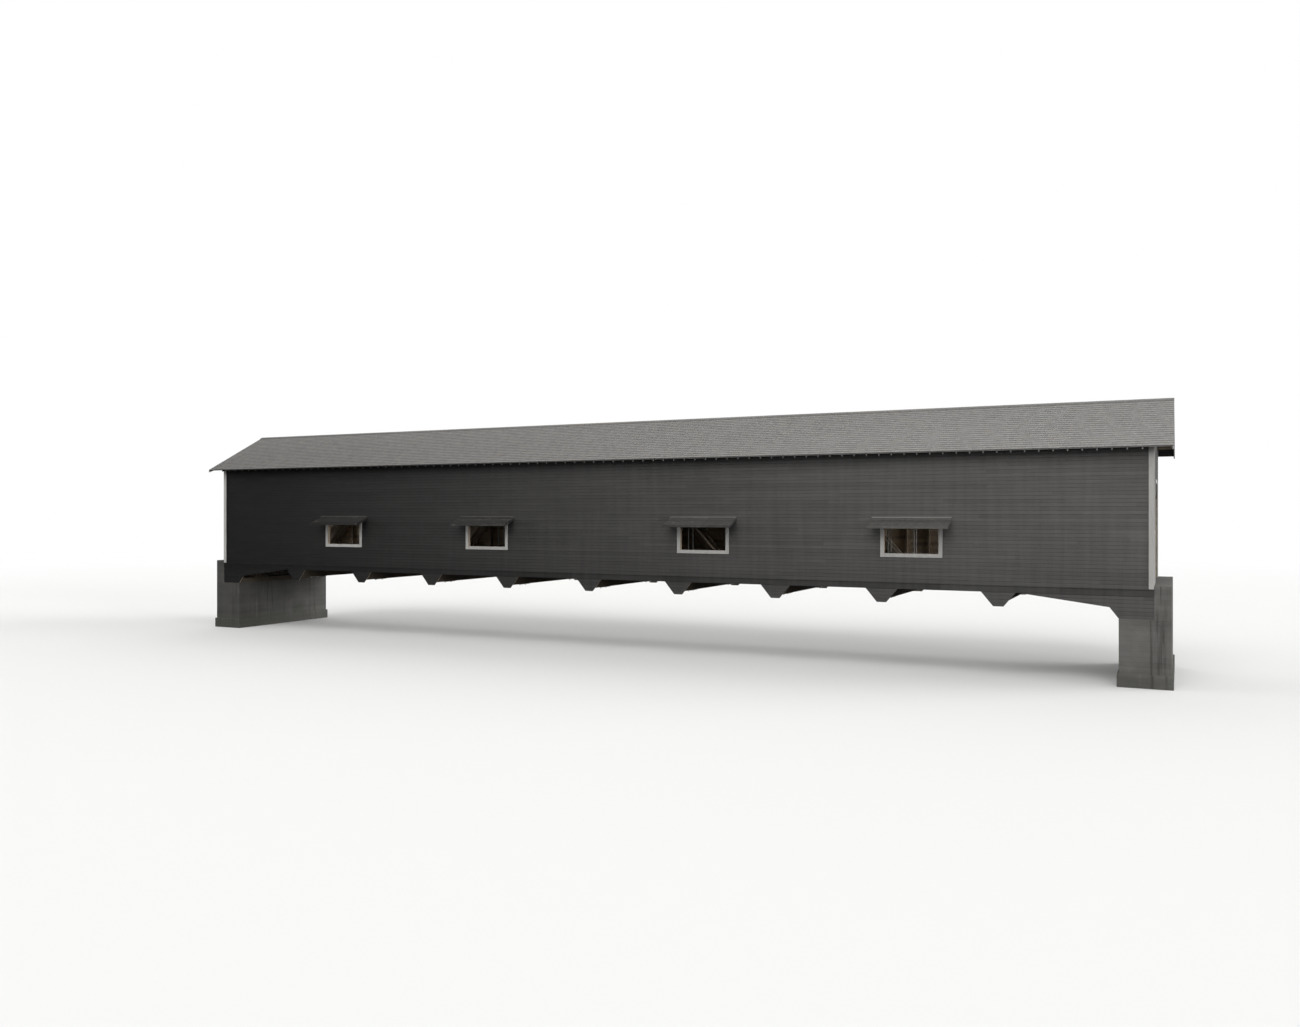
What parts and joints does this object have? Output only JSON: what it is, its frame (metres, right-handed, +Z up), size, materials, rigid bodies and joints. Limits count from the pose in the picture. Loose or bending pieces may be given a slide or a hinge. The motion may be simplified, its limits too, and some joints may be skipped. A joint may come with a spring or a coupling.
{
  "type": "covered timber truss bridge, 1:2 scale model",
  "caption": "Long housed timber truss bridge with a gable shingle roof, dark horizontal siding, hooded windows and white trim, standing on concrete abutments.",
  "frame": {"origin": "middle of the span, midway between the side walls, level with the underside of the abutment footings", "axes": "+X along the bridge, +Y across it away from the walkway side, +Z up"},
  "size_m": [29.282, 5.014, 6.5664],
  "materials": {
    "concrete": "matte",
    "siding": "satin",
    "white_trim": "satin",
    "hood": "matte",
    "shakes": "matte",
    "timber": "matte",
    "planks": "matte",
    "iron": "matte",
    "steel": "satin"
  },
  "bodies": {
    "root": {"abutments": "concrete", "bearing_sills": "timber", "lower_bolsters": "timber", "upper_bolsters": "timber", "lower_chords": "timber", "upper_chords": "timber", "chord_keys": "timber", "main_braces": "timber", "counterbraces": "timber", "angle_blocks": "iron", "tie_rods": "steel", "washer_plates": "steel", "rod_nuts": "steel", "floor_beams": "timber", "stringers": "timber", "road_deck": "planks", "walkway_deck": "planks", "wheel_guards": "timber", "lower_laterals": "timber", "tie_beams": "timber", "upper_laterals": "timber", "upper_siding": "siding", "window_siding": "siding", "lower_siding": "siding", "beam_covers": "siding", "skirt_boards": "siding", "corner_boards": "white_trim", "window_trim": "white_trim", "window_hoods": "hood", "hood_brackets": "hood", "hood_trim": "hood", "wall_posts": "timber", "wall_plates": "timber", "window_headers": "timber", "rafters": "timber", "collar_ties": "timber", "ridge_board": "timber", "near_roof": "shakes", "far_roof": "shakes", "ridge_cap": "shakes", "rake_boards": "white_trim", "portals": "siding", "portal_posts": "timber", "portal_headers": "timber", "portal_trim": "white_trim"}
  },
  "joints": []
}
